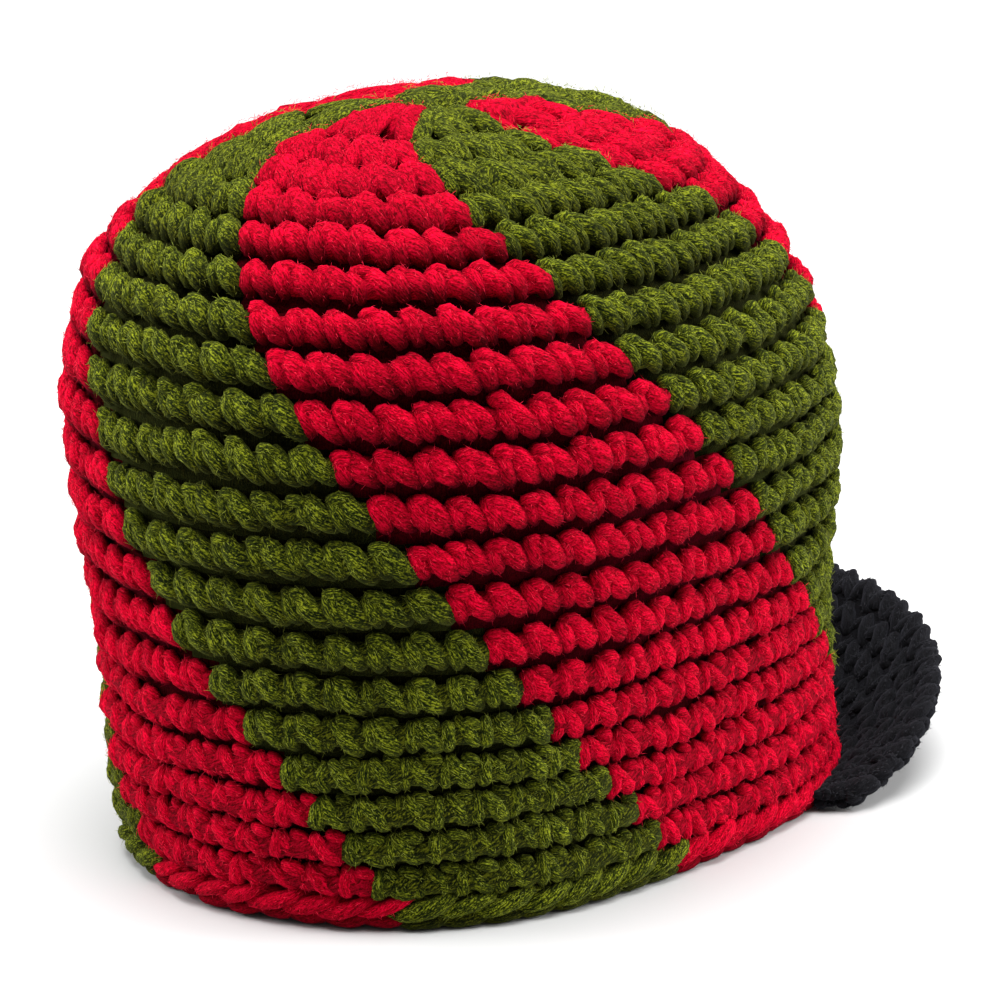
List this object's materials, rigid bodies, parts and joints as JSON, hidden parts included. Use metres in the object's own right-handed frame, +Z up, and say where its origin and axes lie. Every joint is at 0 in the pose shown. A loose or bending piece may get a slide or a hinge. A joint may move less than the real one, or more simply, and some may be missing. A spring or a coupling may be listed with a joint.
{
  "type": "crocheted tam with a short peak",
  "caption": "Deep soft crocheted hat with leaning red and green stripes, an oval rim and a short black turned-up peak.",
  "frame": {"origin": "under the middle of the hat's bounding box, on the surface that the rim rests on", "axes": "+Z up, -Y towards the peak at the front, +X towards the wearer's left"},
  "size_m": [0.1706, 0.2576, 0.1847],
  "materials": {
    "red_yarn": "thick crocheted acrylic yarn, matt and slightly fuzzy",
    "green_yarn": "thick crocheted acrylic yarn, matt and slightly fuzzy",
    "black_yarn": "thick crocheted acrylic yarn, matt and slightly fuzzy"
  },
  "bodies": {
    "root": {"crown_red_1": "red_yarn", "crown_green_1": "green_yarn", "crown_red_2": "red_yarn", "crown_green_2": "green_yarn", "crown_red_3": "red_yarn", "crown_green_3": "green_yarn", "crown_centre": "green_yarn", "peak": "black_yarn"}
  },
  "joints": []
}
